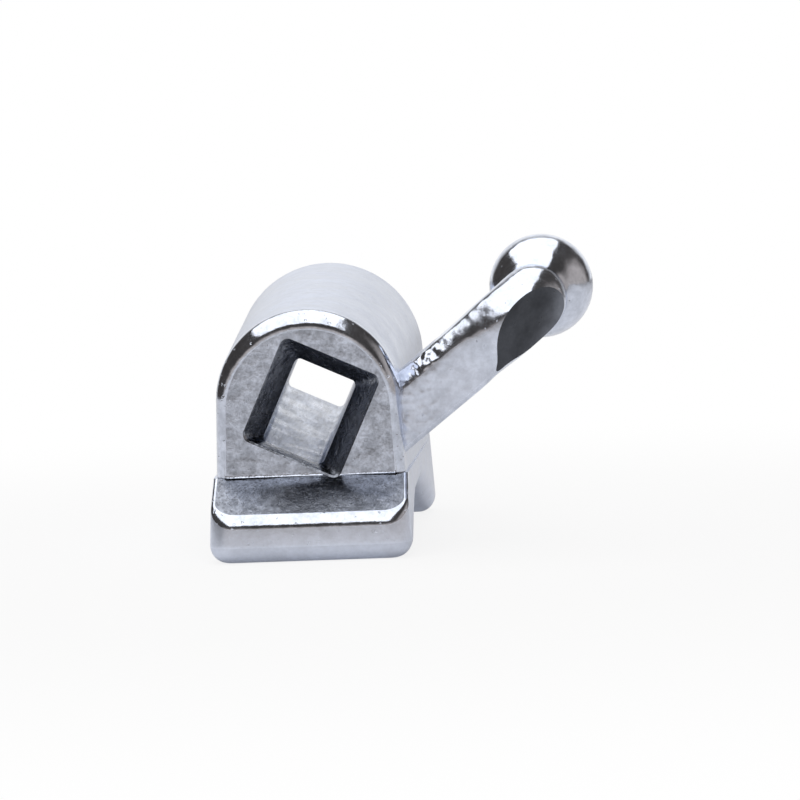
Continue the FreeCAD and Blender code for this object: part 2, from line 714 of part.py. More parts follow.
def crosswise_grooves(doc, body):
    """Grooves across the pad, spaced round the hollow's curve with land in the middle."""
    half_arc = f"{HOLLOW_SLOPE} / 1 rad * {HOLLOW_RADIUS}"
    count = f"2 * floor(({half_arc} - Dims.groove_rim) / Dims.groove_pitch + 0.5)"
    spread = f"({count} - 1) * Dims.groove_pitch / {HOLLOW_RADIUS} * 1 rad"
    sketch = new_sketch(
        body,
        "YZ_Plane",
        "crosswise_side",
        (HOLLOW_Y, HOLLOW_Z, ""),
        Vector(0, 0, 1),
        f"-Dims.tube_pitch * 1 deg - {spread} / 2",
    )
    groove_outline(sketch, "0", "Dims.groove_width / 2")
    cut = add_feature(
        body, "PartDesign::Pocket", "crosswise_cut", Profile=sketch, Midplane=True
    )
    cut.setExpression("Length", "Dims.base_mesial_width - 2 * Dims.groove_rim")
    settle(doc, body, cut)
    rows = add_feature(
        body,
        "PartDesign::PolarPattern",
        "crosswise_rows",
        Originals=[cut],
        Axis=(sketch, ["N_Axis"]),
    )
    rows.setExpression("Angle", spread)
    rows.setExpression("Occurrences", count)
    return settle(doc, body, rows)


def lay_on_lands(body):
    """Turn and move the body so that the middle of the mesial land's flat is the origin."""
    body.Placement = FreeCAD.Placement(Vector(), Rotation(Vector(1, 0, 0), 1))
    body.setExpression("Placement.Rotation.Angle", "Dims.tube_pitch")
    body.setExpression(
        "Placement.Base.y", "Dims.ledge_length - (Dims.base_foot_round + Dims.base_land) / 2"
    )
    body.setExpression("Placement.Base.z", "Dims.base_thickness")


def check(doc, shape):
    """Stop if any object failed or the finished shape isn't one sound solid."""
    for thing in doc.Objects:
        if "Invalid" in thing.State or "Error" in thing.State:
            raise RuntimeError(f"{thing.Name} failed: {thing.State}")
    if shape.isNull() or not shape.isValid() or len(shape.Solids) != 1:
        raise RuntimeError("the tube's shape is not one valid solid")


def main():
    doc = FreeCAD.newDocument("buccal_tube")
    fill_sheet(doc)
    body = doc.addObject("PartDesign::Body", NODE)
    body.Label = NODE
    barrel = tube(doc, body)
    face_rims(doc, body, barrel)
    base_pad(doc, body)
    hollowed = hollow(doc, body)
    foot_round(doc, body, hollowed)
    ledge(doc, body)
    hook(doc, body)
    archwire_slot(doc, body)
    lengthwise_grooves(doc, body)
    crosswise_grooves(doc, body)
    lay_on_lands(body)
    doc.recompute()
    check(doc, body.Shape)
    print(f"{NODE}: {body.Shape.Volume:.4f} mm3")
    os.makedirs("parts", exist_ok=True)
    body.Shape.exportStep(f"parts/{NODE}.step")


main()
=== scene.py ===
"""Molar buccal tube, a polished one-piece casting, on a plain white stage.

The tube is modelled in millimetres in its own frame: the slot runs along +Y and the origin is the
middle of the crease between the mesial face and the ledge. It is then turned by the slot's climb,
set down on its pad and made real size, in metres, in the row's frame.
"""

import math

import bmesh
import bpy
from bpy.props import FloatProperty, FloatVectorProperty, IntProperty, PointerProperty
from bpy.types import Operator, Panel, PropertyGroup
from mathutils import Matrix, Vector


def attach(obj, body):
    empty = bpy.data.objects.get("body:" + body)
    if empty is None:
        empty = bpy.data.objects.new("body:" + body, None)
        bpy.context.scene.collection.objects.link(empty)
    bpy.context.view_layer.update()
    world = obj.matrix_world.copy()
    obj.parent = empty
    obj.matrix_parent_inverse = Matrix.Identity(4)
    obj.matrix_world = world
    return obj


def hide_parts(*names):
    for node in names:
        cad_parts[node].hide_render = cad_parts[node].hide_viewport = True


bl_info = {
    "name": "Molar buccal tube",
    "version": (1, 0, 0),
    "blender": (4, 5, 0),
    "location": "View3D > Sidebar > Buccal tube",
    "description": "Models a cast orthodontic molar tube and its stage",
    "category": "Object",
}

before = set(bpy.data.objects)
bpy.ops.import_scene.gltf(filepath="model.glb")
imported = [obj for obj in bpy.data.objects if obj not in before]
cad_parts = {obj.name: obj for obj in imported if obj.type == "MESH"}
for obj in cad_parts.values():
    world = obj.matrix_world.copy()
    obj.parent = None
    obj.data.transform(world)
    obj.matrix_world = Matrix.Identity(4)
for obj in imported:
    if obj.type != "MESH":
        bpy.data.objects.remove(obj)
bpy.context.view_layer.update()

MM = 0.001
CASTING = "buccal_tube_casting"
# Distances in millimetres under which a vertex counts as on a plane or on the crease, and under
# which two vertices are one
EPS = 1e-4
NEAR_CREASE = 2e-3
WELD = 4e-4

# Every finish, in the order of the parts' material slots, with its painted light and shade. Shade
# is a share of the steel's colour, painted light and shade that lightens or darkens each surface
# to how bright it looks under the lamp and in what it mirrors; rough is the roughness from its
# least to its most, lumps and grain the size and depth of a relief, in millimetres, and pits their
# size, how rare they are and their depth, or their height where it is negative. Cloud and dapple
# say how far the colour darkens in large patches and in small ones, and stretch draws the relief
# out along the axes where it is below 1.
FINISHES_AND_PAINTED_LIGHT = {
    "cast_skin": dict(
        shade=1.0, rough=(0.30, 0.38), lumps=(0.09, 0.002), grain=(0.025, 0.0012),
        pits=(0.04, 0.73, 0.003), cloud=0.08, dapple=0.05,
    ),
    "lapped_face": dict(
        shade=1.12, rough=(0.32, 0.42), lumps=(0.08, 0.009), grain=(0.020, 0.004),
        pits=(0.04, 0.71, 0.004), cloud=0.22, dapple=0.26,
    ),
    "polished_rim": dict(
        shade=1.05, rough=(0.09, 0.17), lumps=(0.12, 0.003), grain=(0.030, 0.0006),
        pits=(0.05, 0.68, 0.003), cloud=0.10, dapple=0.15,
    ),
    # Painted shade: the ledge top's steel is darkened to stand for the dark room that it mirrors
    "ledge_top": dict(
        shade=0.58, rough=(0.22, 0.30), lumps=(0.05, 0.002), grain=(0.014, 0.0018),
        pits=(0.020, 0.60, -0.005), cloud=0.25, dapple=0.30, stretch=(1, 0.7, 0.7),
    ),
    "ledge_front": dict(
        shade=1.12, rough=(0.28, 0.34), lumps=(0.12, 0.002), grain=(0.025, 0.001),
        pits=(0.03, 0.70, 0.002), cloud=0.08, dapple=0.06,
    ),
    "crease_bead": dict(
        shade=1.1, rough=(0.15, 0.30), lumps=(0.03, 0.004), grain=(0.02, 0.002),
        pits=(0.05, 0.68, 0.003), cloud=0.1, dapple=0.2,
    ),
    # Painted shade: the funnel's walls, a recess, are darkened to half the steel's colour
    "funnel_wall": dict(
        shade=0.50, rough=(0.18, 0.32), lumps=(0.05, 0.004), grain=(0.016, 0.0015),
        pits=(0.03, 0.66, -0.003), cloud=0.2, dapple=0.20,
    ),
    "slot_wall": dict(
        shade=1.1, rough=(0.26, 0.38), lumps=(0.06, 0.006), grain=(0.022, 0.004),
        pits=(0.05, 0.66, 0.005), cloud=0.12, dapple=0.24, stretch=(1, 0.12, 1),
    ),
    "hook_skin": dict(
        shade=1.08, rough=(0.10, 0.20), lumps=(0.13, 0.006), grain=(0.04, 0.0008),
        pits=(0.04, 0.74, 0.003), cloud=0.10, dapple=0.12,
    ),
    # Painted reflection: the ground facet's steel is nearly black, standing for the dark room that
    # it
    # mirrors, and is painted paler toward its far edge further down
    "ground_facet": dict(
        shade=0.11, rough=(0.12, 0.20), lumps=(0.15, 0.003), grain=(0.03, 0.0003),
        pits=(0.03, 0.72, -0.003), cloud=0.3, dapple=0.1,
    ),
}


class BuccalTubeSizes(PropertyGroup):
    """Sizes of the casting, in millimetres and degrees."""

    base_length: FloatProperty(name="Pad length", default=3.66, description="Along the tube, mm")
    base_mesial_width: FloatProperty(name="Pad width, mesial", default=1.40, description="mm")
    base_distal_width: FloatProperty(name="Pad width, distal", default=1.52, description="mm")
    base_thickness: FloatProperty(
        name="Pad thickness", default=0.56, description="Underside to the crease, mm"
    )
    base_draft: FloatProperty(name="Pad draft", default=3.0, description="Degrees")
    base_corner: FloatProperty(name="Pad corners", default=0.17, description="Plan radius, mm")
    foot_round: FloatProperty(name="Foot round", default=0.13, description="mm")
    land: FloatProperty(name="Land", default=0.27, description="Pad's end to the hollow, mm")
    hollow: FloatProperty(name="Hollow", default=0.38, description="Rise of the underside, mm")
    lip: FloatProperty(name="Hollow's lip", default=0.30, description="Radius, mm")
    ledge_length: FloatProperty(name="Ledge length", default=0.414, description="mm")
    ledge_drop: FloatProperty(name="Ledge drop", default=0.27, description="mm")
    ledge_round: FloatProperty(
        name="Ledge round", default=0.065, description="Its width on the slope and the front, mm"
    )
    ledge_side: FloatProperty(
        name="Ledge side", default=0.45, description="Share of the ledge round kept at its sides"
    )
    crease_bead: FloatProperty(
        name="Crease bead", default=0.018, description="Its width on the face and the ledge, mm"
    )
    pitch: FloatProperty(
        name="Slot climb", default=3.8, description="Slot over the underside, degrees"
    )
    tube_length: FloatProperty(name="Tube length", default=3.10, description="mm")
    wall_draft: FloatProperty(name="Wall draft", default=2.0, description="Degrees")
    mesial_radius: FloatProperty(name="Mesial arch", default=0.642, description="Radius, mm")
    mesial_top: FloatProperty(name="Mesial height", default=1.147, description="Over crease, mm")
    distal_radius: FloatProperty(name="Distal arch", default=0.70, description="Radius, mm")
    distal_top: FloatProperty(name="Distal height", default=1.155, description="Over crease, mm")
    tube_root: FloatProperty(name="Tube root", default=0.25, description="Into the pad, mm")
    rim_round: FloatProperty(name="Mesial rim", default=0.13, description="Round, mm")
    distal_round: FloatProperty(name="Distal rim", default=0.07, description="Round, mm")
    arc_steps: IntProperty(name="Arc steps", default=96, description="Steps round the arch")


class BuccalSlotSizes(PropertyGroup):
    """Sizes of the archwire slot, in millimetres and degrees."""

    width: FloatProperty(name="Slot width", default=0.457, description="mm")
    depth: FloatProperty(name="Slot depth", default=0.635, description="mm")
    rise: FloatProperty(name="Slot rise", default=0.425, description="Over the crease, mm")
    torque: FloatProperty(name="Torque", default=25.0, description="Degrees")
    corner: FloatProperty(name="Slot corner", default=0.03, description="mm")
    funnel_depth: FloatProperty(name="Funnel depth", default=0.18, description="mm")
    funnel_side: FloatProperty(name="Funnel side flare", default=0.127, description="mm")
    funnel_end: FloatProperty(name="Funnel end flare", default=0.06, description="mm")
    funnel_lift: FloatProperty(name="Funnel lift", default=0.05, description="mm")
    lip: FloatProperty(name="Lip round", default=0.012, description="Round of the mouth, mm")
    exit_break: FloatProperty(name="Exit bevel", default=0.05, description="mm")


class BuccalHookSizes(PropertyGroup):
    """Sizes of the hook, in millimetres and degrees."""

    setback: FloatProperty(name="Setback", default=0.17, description="Behind the face, mm")
    depth: FloatProperty(name="Depth", default=0.40, description="Along the tube, mm")
    width: FloatProperty(name="Width", default=0.455, description="Stem, mm")
    slope: FloatProperty(name="Slope", default=38.0, description="Degrees")
    reach: FloatProperty(name="Reach", default=1.543, description="To the bend's middle, mm")
    rise: FloatProperty(name="Rise", default=1.09, description="To the bend's middle, mm")
    root: FloatProperty(name="Root", default=1.33, description="Stem length into the tube, mm")
    ball_radius: FloatProperty(name="Ball", default=0.366, description="Radius, mm")
    ball_setback: FloatProperty(name="Ball setback", default=0.55, description="mm")
    ball_lean: FloatProperty(name="Ball lean", default=12.0, description="Degrees")
    neck_radius: FloatProperty(name="Neck", default=0.215, description="Radius, mm")
    neck_fillet: FloatProperty(name="Neck fillet", default=0.12, description="Radius, mm")
    upper_round: FloatProperty(name="Upper round", default=0.14, description="Stem edge, mm")
    lower_round: FloatProperty(name="Lower round", default=0.04, description="Stem edge, mm")
    rounding: FloatProperty(name="Rounding off", default=0.42, description="Flat to round, mm")
    bend_radius: FloatProperty(name="Bend", default=0.25, description="Centre line, mm")
    facet_reach: FloatProperty(name="Facet reach", default=1.37, description="mm")
    facet_rise: FloatProperty(name="Facet rise", default=0.88, description="mm")
    facet_lean: FloatProperty(name="Facet lean", default=20.0, description="Crease, degrees")
    facet_swing: FloatProperty(name="Facet swing", default=50.0, description="To front, degrees")


class BuccalGrooveSizes(PropertyGroup):
    """Sizes of the retention grooves, in millimetres."""

    rim: FloatProperty(name="Plain rim", default=0.20, description="mm")
    pitch: FloatProperty(name="Groove pitch", default=0.26, description="mm")
    width: FloatProperty(name="Groove width", default=0.09, description="mm")
    depth: FloatProperty(name="Groove depth", default=0.07, description="mm")


class BuccalStageSettings(PropertyGroup):
    """The camera and the studio."""

    steel: FloatVectorProperty(
        name="Steel", subtype="COLOR", size=3, default=(0.73, 0.78, 0.90), min=0, max=1
    )
    azimuth: FloatProperty(name="Azimuth", default=2.44, description="Degrees to the hook's side")
    elevation: FloatProperty(name="Elevation", default=7.8, description="Over the slot, degrees")
    roll: FloatProperty(name="Roll", default=2.4, description="Degrees")
    distance: FloatProperty(name="Distance", default=30.6, description="mm")
    pixels_per_mm: FloatProperty(name="Scale", default=145.0, description="At the aim point")
    picture: FloatProperty(name="Picture width", default=800.0, description="Pixels")


# Small helpers for edit mode


def activate(thing):
    """Make one object the only selected and the active one."""
    bpy.ops.object.select_all(action="DESELECT")
    thing.select_set(True)
    bpy.context.view_layer.objects.active = thing


def edit(thing):
    activate(thing)
    bpy.ops.object.mode_set(mode="EDIT")
    bpy.ops.mesh.select_mode(type="VERT")


def leave_edit():
    bpy.ops.object.mode_set(mode="OBJECT")


def pick(kind, test):
    """Select the faces, edges or verts that pass a test, and nothing else."""
    bpy.ops.mesh.select_all(action="DESELECT")
    bpy.ops.mesh.select_mode(type={"faces": "FACE", "edges": "EDGE", "verts": "VERT"}[kind])
    mesh = bmesh.from_edit_mesh(bpy.context.active_object.data)
    for element in getattr(mesh, kind):
        if test(element):
            element.select_set(True)
    mesh.select_flush_mode()
    bmesh.update_edit_mesh(bpy.context.active_object.data)


def middle(element):
    """The middle of a face or an edge."""
    if hasattr(element, "calc_center_median"):
        return element.calc_center_median()
    return sum((vert.co for vert in element.verts), Vector()) / len(element.verts)


def extrude(shift):
    bpy.ops.mesh.extrude_region_move(TRANSFORM_OT_translate={"value": shift})


def resize(value, centre):
    bpy.ops.transform.resize(value=value, center_override=centre)


def outward():
    """Turn every face of the edited mesh outward."""
    bpy.ops.mesh.select_all(action="SELECT")
    bpy.ops.mesh.normals_make_consistent(inside=False)
    bpy.ops.mesh.select_all(action="DESELECT")


def give_finishes(thing):
    """The same material slots on every part, so that booleans keep each face's finish."""
    for name in FINISHES_AND_PAINTED_LIGHT:
        thing.data.materials.append(bpy.data.materials[name])


def slot_number(finish):
    """The material slot that a finish has on every part."""
    return list(FINISHES_AND_PAINTED_LIGHT).index(finish)


def paint(finish, test):
    """Give the edited mesh's faces that pass a test a finish."""
    pick("faces", test)
    bpy.context.active_object.active_material_index = slot_number(finish)
    bpy.ops.object.material_slot_assign()


def apply_modifier(thing, kind, **settings):
    activate(thing)
    modifier = thing.modifiers.new(kind.title(), kind)
    for key, value in settings.items():
        setattr(modifier, key, value)
    bpy.ops.object.modifier_apply(modifier=modifier.name)


def combine(thing, other, operation):
    """Join another part to a thing, or cut it away, and remove the other part."""
    apply_modifier(
        thing,
        "BOOLEAN",
        object=other,
        operation=operation,
        solver="EXACT",
        material_mode="INDEX",
    )
    bpy.data.objects.remove(other, do_unlink=True)
    apply_modifier(thing, "WELD", merge_threshold=WELD)


def seat(sizes):
    """How far the row's origin, the middle of the mesial land, is from the pad's mesial end."""
    return (sizes.foot_round + sizes.land) / 2


def to_row(sizes):
    """The way from the tube's frame to the row's frame, in millimetres."""
    crease = Vector((0, sizes.ledge_length - seat(sizes), sizes.base_thickness))
    return Matrix.Translation(crease) @ Matrix.Rotation(math.radians(sizes.pitch), 4, "X")


def set_down(thing, sizes):
    """Carry a part from the tube's frame to the row's frame, still in millimetres."""
    thing.data.transform(to_row(sizes))
    thing.data.update()


# The casting's parts


def make_barrel(sizes):
    """The arched tube: a half disc with its walls drawn down, pulled along the slot."""
    radius = sizes.mesial_radius
    centre = sizes.mesial_top - radius
    draft = math.tan(math.radians(sizes.wall_draft))
    bpy.ops.mesh.primitive_circle_add(
        vertices=2 * sizes.arc_steps,
        radius=radius,
        fill_type="NGON",
        location=(0, 0, centre),
        rotation=(math.pi / 2, 0, 0),
    )
    barrel = bpy.context.active_object
    bpy.ops.object.transform_apply(location=True, rotation=True, scale=True)
    give_finishes(barrel)
    edit(barrel)
    bpy.ops.mesh.select_all(action="SELECT")
    bpy.ops.mesh.bisect(
        plane_co=(0, 0, centre), plane_no=(0, 0, 1), clear_inner=True, threshold=1e-5
    )
    pick("edges", lambda edge: all(abs(v.co.z - centre) < EPS for v in edge.verts))
    extrude((0, 0, -centre - sizes.tube_root))
    wall = centre + sizes.tube_root
    spread = (radius + wall * draft) / radius
    resize((spread, 1, 1), (0, 0, -sizes.tube_root))
    pick("edges", lambda edge: all(abs(v.co.z - centre) < EPS for v in edge.verts))
    bpy.ops.mesh.dissolve_edges(use_verts=False)
    pick("faces", lambda face: True)
    extrude((0, sizes.tube_length, 0))
    far_centre = sizes.distal_top - sizes.distal_radius
    grow = sizes.distal_radius / radius

    def far_arch(vert):
        return vert.co.y > sizes.tube_length - EPS and vert.co.z > -sizes.tube_root + EPS

    pick("verts", far_arch)
    resize((grow, 1, grow), (0, sizes.tube_length, centre))
    bpy.ops.transform.translate(value=(0, 0, far_centre - centre))
    pick("verts", lambda v: v.co.y > sizes.tube_length - EPS and v.co.z < -sizes.tube_root + EPS)
    resize((grow, 1, 1), (0, sizes.tube_length, 0))
    draw_in_rim(sizes)
    outward()
    end = sizes.tube_length
    pick("edges", lambda edge: all(abs(vert.co.y - end) < EPS for vert in edge.verts))
    bpy.ops.mesh.bevel(offset=sizes.distal_round, segments=10, clamp_overlap=False)
    paint("polished_rim", lambda face: middle(face).y < sizes.rim_round - EPS)
    paint("lapped_face", lambda face: middle(face).y < EPS)
    leave_edit()
    set_down(barrel, sizes)
    return barrel


def draw_in_rim(sizes):
    """Round the mesial rim: each step is drawn in about the crease, so the crown gets the most."""
    steps = 12
    pick("faces", lambda face: middle(face).y < EPS)
    bpy.ops.transform.translate(value=(0, sizes.rim_round, 0))
    depth, share = sizes.rim_round, 1.0
    for step in range(1, steps + 1):
        angle = math.pi / 2 * step / steps
        next_depth = sizes.rim_round * (1 - math.sin(angle))
        next_share = 1 - sizes.rim_round / sizes.mesial_top * (1 - math.cos(angle))
        extrude((0, next_depth - depth, 0))
        resize([next_share / share] * 3, (0, next_depth, 0))
        depth, share = next_depth, next_share


def make_pad(sizes):
    """The bonding pad: drafted sides, a hollowed underside and a ledge at its mesial end."""
    half_length = sizes.base_length / 2
    thickness = sizes.base_thickness
    middle_y = half_length - seat(sizes)
    bpy.ops.mesh.primitive_cube_add(size=1, location=(0, 0, thickness / 2))
    pad = bpy.context.active_object
    bpy.ops.object.transform_apply(location=True, rotation=True, scale=True)
    give_finishes(pad)
    edit(pad)
    bpy.ops.mesh.select_all(action="SELECT")
    resize((sizes.base_mesial_width, sizes.base_length, thickness), (0, 0, thickness / 2))
    pick("verts", lambda vert: vert.co.y > 0)
    resize((sizes.base_distal_width / sizes.base_mesial_width, 1, 1), (0, 0, 0))
    lean = thickness * math.tan(math.radians(sizes.base_draft))
    pick("verts", lambda vert: vert.co.z > thickness / 2)
    resize((1 - 2 * lean / sizes.base_mesial_width, 1 - lean / half_length, 1), (0, 0, thickness))
    pick("edges", lambda edge: abs(edge.verts[0].co.z - edge.verts[1].co.z) > thickness / 2)
    bpy.ops.mesh.bevel(offset=sizes.base_corner, segments=16, clamp_overlap=False)
    leave_edit()
    hollow_out(pad, sizes)
    edit(pad)

    def rims_the_underside(edge):
        lifts = sorted(face.normal.z for face in edge.link_faces)
        return lifts[0] < -0.5 and abs(lifts[-1]) < 0.3

    pick("edges", rims_the_underside)
    bpy.ops.mesh.bevel(offset=sizes.foot_round, segments=10, clamp_overlap=False)
    cut_ledge(pad, sizes, half_length)
    leave_edit()
    pad.data.transform(Matrix.Translation((0, middle_y, 0)))
    return pad


def hollow_out(pad, sizes):
    """Cut the pad's underside to the curve of a molar, rolling out of a land at each end."""
    half = sizes.base_length / 2 - sizes.land
    slope = 2 * math.atan(sizes.hollow / half)
    radius = half / math.sin(slope) - sizes.lip
    side = -sizes.base_distal_width
    bpy.ops.mesh.primitive_plane_add(size=sizes.lip, location=(side, -half, 0))
    cutter = bpy.context.active_object
    bpy.ops.object.transform_apply(location=True, rotation=True, scale=True)
    give_finishes(cutter)
    edit(cutter)
    bpy.ops.mesh.select_all(action="SELECT")
    bpy.ops.mesh.merge(type="CENTER")
    for steps, angle, centre in (
        (8, -slope, (side, -half, sizes.lip)),
        (48, 2 * slope, (side, 0, sizes.hollow - radius)),
        (8, -slope, (side, half, sizes.lip)),
    ):
        bpy.ops.mesh.spin(steps=steps, angle=angle, center=centre, axis=(1, 0, 0))
    extrude((0, 0, -sizes.land))
    extrude((0, -2 * half, 0))
    bpy.ops.mesh.select_all(action="SELECT")
    bpy.ops.mesh.edge_face_add()
    extrude((-2 * side, 0, 0))
    outward()
    leave_edit()
    combine(pad, cutter, "DIFFERENCE")


def cut_ledge(pad, sizes, half_length):
    """Slope the mesial end of the edited pad, and round the slope's rim, least at its sides."""
    start = Vector((0, sizes.ledge_length - half_length, sizes.base_thickness))
    slope = Vector((0, -sizes.ledge_drop, sizes.ledge_length)).normalized()
    bpy.ops.mesh.select_all(action="SELECT")
    bpy.ops.mesh.bisect(
        plane_co=start, plane_no=slope, clear_outer=True, use_fill=True, threshold=1e-5
    )

    def rims_the_slope(edge):
        on_slope = all(abs((vert.co - start).dot(slope)) < EPS for vert in edge.verts)
        return on_slope and middle(edge).y < start.y - EPS

    mesh = bmesh.from_edit_mesh(pad.data)
    weight = mesh.edges.layers.float.new("bevel_weight_edge")
    corner_x = sizes.base_mesial_width / 2 - sizes.base_corner
    corner_y = sizes.base_corner - half_length
    for edge in mesh.edges:
        if rims_the_slope(edge):
            place = middle(edge)
            turn = math.atan2(abs(place.x) - corner_x, corner_y - place.y) / (math.pi / 2)
            turn = min(max(turn, 0), 1)
            edge[weight] = 1 - (1 - sizes.ledge_side) * turn**2 * (3 - 2 * turn)
    bmesh.update_edit_mesh(pad.data)
    leave_edit()
    apply_modifier(
        pad,
        "BEVEL",
        limit_method="WEIGHT",
        width=sizes.ledge_round,
        segments=10,
        use_clamp_overlap=False,
    )
    edit(pad)

    def ahead(face):
        return middle(face).y < start.y and middle(face).z > 0.1

    paint("ledge_front", lambda face: ahead(face) and abs(face.normal.z) < 0.08)
    paint("polished_rim", lambda face: ahead(face) and 0.08 < face.normal.z < 0.999)
    # The slope gets the ledge top's darkened steel, a painted shade
    paint("ledge_top", lambda face: face.normal.dot(slope) > 0.9999 and middle(face).y < start.y)


def bead_the_crease(casting, sizes):
    """Fill the crease between the mesial face and the ledge with a tiny hollow bead."""
    crease = to_row(sizes).translation
    half_width = sizes.mesial_radius - sizes.crease_bead
    def in_the_crease(edge):
        return all(
            abs(vert.co.y - crease.y) < NEAR_CREASE
            and abs(vert.co.z - crease.z) < NEAR_CREASE
            and abs(vert.co.x) < half_width
            for vert in edge.verts
        )

    edit(casting)
    pick("edges", in_the_crease)
    bpy.ops.mesh.bevel(
        offset=sizes.crease_bead, segments=4, material=slot_number("crease_bead")
    )
    leave_edit()


def rounded_rectangle(width, height, corner, steps, place):
    """A flat face in the plane across the slot, with rounded corners, left in edit mode."""
    bpy.ops.mesh.primitive_plane_add(size=1, location=place, rotation=(math.pi / 2, 0, 0))
    face = bpy.context.active_object
    face.scale = (width, height, 1)
    bpy.ops.object.transform_apply(location=True, rotation=True, scale=True)
    give_finishes(face)
    edit(face)
    bpy.ops.mesh.select_all(action="SELECT")
    bpy.ops.mesh.bevel(offset=corner, segments=steps, affect="VERTICES", clamp_overlap=False)
    return face


def make_slot_cutter(sizes, slot):
    """The archwire's space: mouth, funnel, slot and bevelled exit, as one solid to cut away."""
    over = 0.3
    mouth_width = slot.width + 2 * slot.funnel_side
    mouth_height = slot.depth + 2 * slot.funnel_end
    lip = 1 + 2 * slot.lip / mouth_width
    mouth = Vector((0, 0, slot.rise + slot.funnel_lift))
    cutter = rounded_rectangle(
        mouth_width * lip, mouth_height * lip, 2 * slot.corner, 6, mouth + Vector((0, -over, 0))
    )
    bpy.ops.mesh.select_all(action="SELECT")
    extrude((0, over, 0))
    extrude((0, slot.lip, 0))
    resize((1 / lip, 1, 1 / lip), mouth + Vector((0, slot.lip, 0)))
    extrude((0, slot.funnel_depth - slot.lip, 0))
    throat = Vector((0, slot.funnel_depth, slot.rise))
    bpy.ops.transform.translate(value=(0, 0, -slot.funnel_lift))
    resize((slot.width / mouth_width, 1, slot.depth / mouth_height), throat)
    extrude((0, sizes.tube_length - slot.exit_break - slot.funnel_depth, 0))
    extrude((0, slot.exit_break, 0))
    bevelled = Vector((0, sizes.tube_length, slot.rise))
    resize(
        (1 + 2 * slot.exit_break / slot.width, 1, 1 + 2 * slot.exit_break / slot.depth), bevelled
    )
    extrude((0, over, 0))
    outward()
    paint("slot_wall", lambda face: True)
    # The funnel gets the darkened steel of a painted shade
    paint("funnel_wall", lambda face: middle(face).y < slot.funnel_depth - EPS)
    leave_edit()
    turn = Matrix.Rotation(math.radians(slot.torque), 4, "Y")
    axis = Matrix.Translation((0, 0, slot.rise))
    cutter.data.transform(axis @ turn @ axis.inverted())
    set_down(cutter, sizes)
    return cutter


def stem_section(hook):
    """The stem's section, left in edit mode: a wide round on its upper edges, crisp lower ones."""
    bpy.ops.mesh.primitive_plane_add(size=1, rotation=(0, math.pi / 2, 0))
    section = bpy.context.active_object
    section.scale = (1, hook.depth, 1)
    bpy.ops.object.transform_apply(location=True, rotation=True, scale=True)
    section.data.transform(Matrix.Diagonal((1, 1, hook.width, 1)))
    give_finishes(section)
    edit(section)
    for front in (True, False):
        for upper, size in ((True, hook.upper_round), (False, hook.lower_round)):
            pick("verts", lambda v: at_corner(v, front, upper, hook))
            bpy.ops.mesh.bevel(offset=size, segments=8, affect="VERTICES", clamp_overlap=False)
    pick("edges", lambda edge: edge.calc_length() > 0.1)
    bpy.ops.mesh.subdivide(number_cuts=9)
    bpy.ops.mesh.select_all(action="SELECT")
    return section


def at_corner(vert, front, upper, hook):
    """Whether a vertex is still the square corner on that side of the stem."""
    square = abs(abs(vert.co.y) - hook.depth / 2) + abs(abs(vert.co.z) - hook.width / 2) < EPS
    return square and (vert.co.y < 0) == front and (vert.co.z > 0) == upper


def ball_rings(hook, neck_length):
    """Distance and radius of each ring from the bend's end: neck, hollow fillet and ball."""
    ball, neck, fillet = hook.ball_radius, hook.neck_radius, hook.neck_fillet
    span = math.sqrt((ball + fillet) ** 2 - (neck + fillet) ** 2)
    meet = math.asin((neck + fillet) / (ball + fillet))
    for step in range(9):
        angle = (math.pi / 2 - meet) * step / 8
        yield (
            neck_length - span + fillet * math.sin(angle),
            neck + fillet * (1 - math.cos(angle)),
        )
    rings = 40
    for step in range(1, rings):
        angle = meet + (math.pi - meet) * step / rings
        yield (neck_length - ball * math.cos(angle), ball * math.sin(angle))


def make_hook(sizes, hook):
    """The hook: a flat-faced stem that rounds off, bends back into a neck and ends in a ball.

    It is made along +X, with +Y to the back, and turned up by its slope at the end.
    """
    arm = stem_section(hook)
    bpy.ops.transform.translate(value=(-hook.root, 0, 0))
    lean = math.radians(hook.ball_lean)
    bend_run = hook.bend_radius * math.tan((math.pi / 2 - lean) / 2)
    bend_start = -bend_run
    round_start = bend_start - hook.rounding
    extrude((hook.root + round_start, 0, 0))
    steps = 12
    before = 0.0
    for step in range(1, steps + 1):
        extrude((hook.rounding / steps, 0, 0))
        after = math.sin(math.pi / 2 * step / steps) ** 2
        centre = (round_start + hook.rounding * step / steps, 0, 0)
        share = 1.0 if step == steps else (after - before) / (1 - before)
        bpy.ops.transform.tosphere(value=share, center_override=centre)
        before = after
    back = Vector((math.sin(lean), math.cos(lean), 0))
    pivot = Vector((bend_start, hook.bend_radius, 0))
    bpy.ops.mesh.spin(steps=24, angle=-(math.pi / 2 - lean), center=pivot, axis=(0, 0, 1))
    end = pivot + hook.bend_radius * Vector((math.cos(lean), -math.sin(lean), 0))
    place, radius = 0.0, None
    for distance, size in ball_rings(hook, hook.ball_setback - bend_run):
        extrude(back * (distance - place))
        if radius is None:
            mesh = bmesh.from_edit_mesh(arm.data)
            radius = max((v.co - end - back * distance).length for v in mesh.verts if v.select)
        resize([size / radius] * 3, end + back * distance)
        place, radius = distance, size
    bpy.ops.mesh.merge(type="CENTER")
    outward()
    paint("hook_skin", lambda face: True)
    leave_edit()
    arm.data.transform(
        Matrix.Translation((hook.reach, hook.setback + hook.depth / 2, hook.rise))
        @ Matrix.Rotation(-math.radians(hook.slope), 4, "Y")
    )
    grind_facet(arm, hook)
    set_down(arm, sizes)
    return arm


